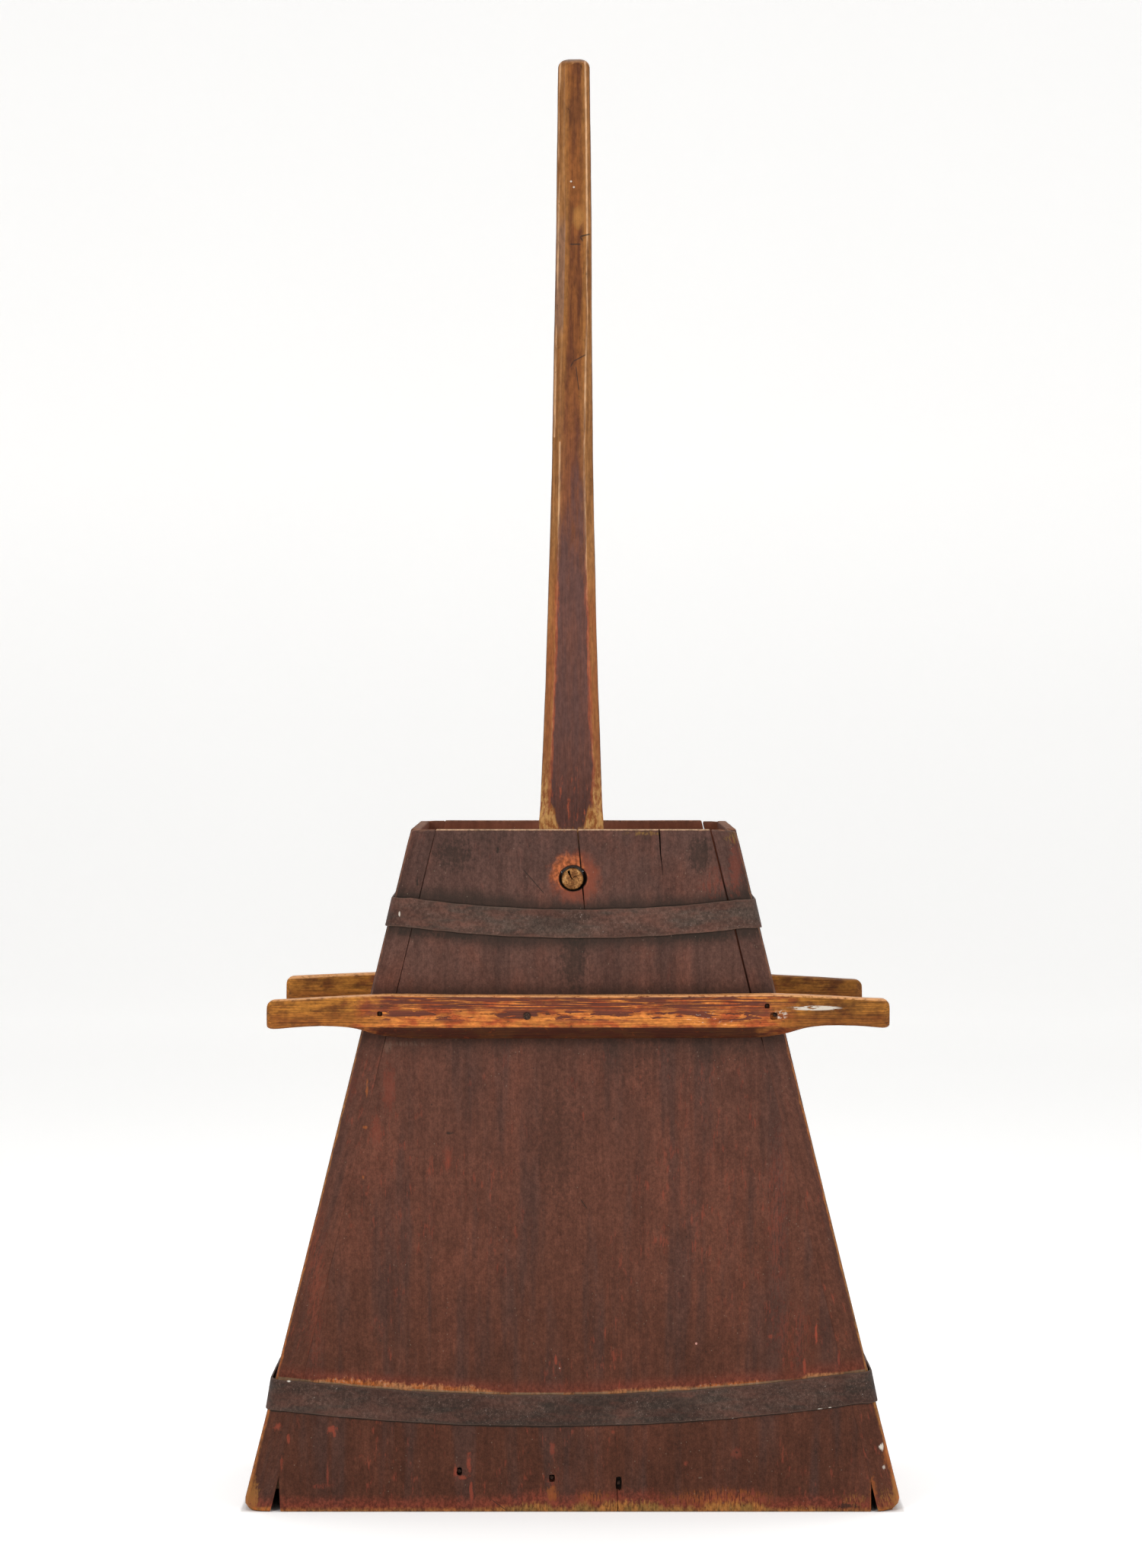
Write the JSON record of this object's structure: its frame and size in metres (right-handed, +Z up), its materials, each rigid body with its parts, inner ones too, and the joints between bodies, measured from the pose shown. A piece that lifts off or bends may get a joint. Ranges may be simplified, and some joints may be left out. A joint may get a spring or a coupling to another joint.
{
  "type": "swing-lever butter churn",
  "caption": "Tapered coopered wooden churn with an open top, carrying rails, iron hoops and a tall lever on an axle peg that swings a slatted dasher.",
  "frame": {"origin": "on the ground under the middle of the vessel", "axes": "+Z up the lever, -Y out of the front face with the carrying rail, +X to the right as the front is seen"},
  "size_m": [0.6704, 0.3464, 1.5],
  "materials": {
    "painted_wood": "old oxide-red paint, dull and worn",
    "worn_rail": "paint worn through to oiled wood",
    "lever_wood": "hand-polished bare wood over worn paint",
    "peg_wood": "bare, worn end grain",
    "inner_wood": "bare, milk-washed and dry",
    "hoop_iron": "dull brown rust",
    "nail_iron": "dark wrought iron"
  },
  "bodies": {
    "vessel": {"back_board_left": "painted_wood", "back_board_right": "painted_wood", "back_floor_nail_left": "nail_iron", "back_floor_nail_middle": "nail_iron", "back_floor_nail_right": "nail_iron", "back_rail": "worn_rail", "back_rail_nail_left_lower": "nail_iron", "back_rail_nail_left_upper": "nail_iron", "back_rail_nail_middle": "nail_iron", "back_rail_nail_right": "nail_iron", "corner_stave_back_left": "painted_wood", "corner_stave_back_right": "painted_wood", "corner_stave_front_left": "painted_wood", "corner_stave_front_right": "painted_wood", "floor_board_back": "inner_wood", "floor_board_front": "inner_wood", "front_board_left": "painted_wood", "front_board_right": "painted_wood", "front_floor_nail_left": "nail_iron", "front_floor_nail_middle": "nail_iron", "front_floor_nail_right": "nail_iron", "front_rail": "worn_rail", "front_rail_nail_left": "nail_iron", "front_rail_nail_middle": "nail_iron", "front_rail_nail_right_lower": "nail_iron", "front_rail_nail_right_upper": "nail_iron", "lower_hoop": "hoop_iron", "lower_hoop_rivet_1": "nail_iron", "lower_hoop_rivet_2": "nail_iron", "side_board_left": "painted_wood", "side_board_right": "painted_wood", "upper_hoop": "hoop_iron", "upper_hoop_rivet_1": "nail_iron", "upper_hoop_rivet_2": "nail_iron"},
    "lever": {"dasher_pin_1": "inner_wood", "dasher_pin_2": "inner_wood", "dasher_pin_3": "inner_wood", "dasher_pin_4": "inner_wood", "dasher_slat_1": "inner_wood", "dasher_slat_2": "inner_wood", "dasher_slat_3": "inner_wood", "dasher_slat_4": "inner_wood", "dasher_stile_back": "inner_wood", "dasher_stile_front": "inner_wood", "lever": "lever_wood"},
    "peg": {"axle_peg": "peg_wood"}
  },
  "joints": [
    {"name": "lever_swing", "type": "hinge", "parent": "vessel", "child": "lever", "pos_m": [0, 0, 0.6435], "axis": [0, 1, 0], "range_deg": [-26, 26]},
    {"name": "peg_draw", "type": "slide", "parent": "lever", "child": "peg", "axis": [0, -1, 0], "range_m": [0, 0.32]}
  ]
}
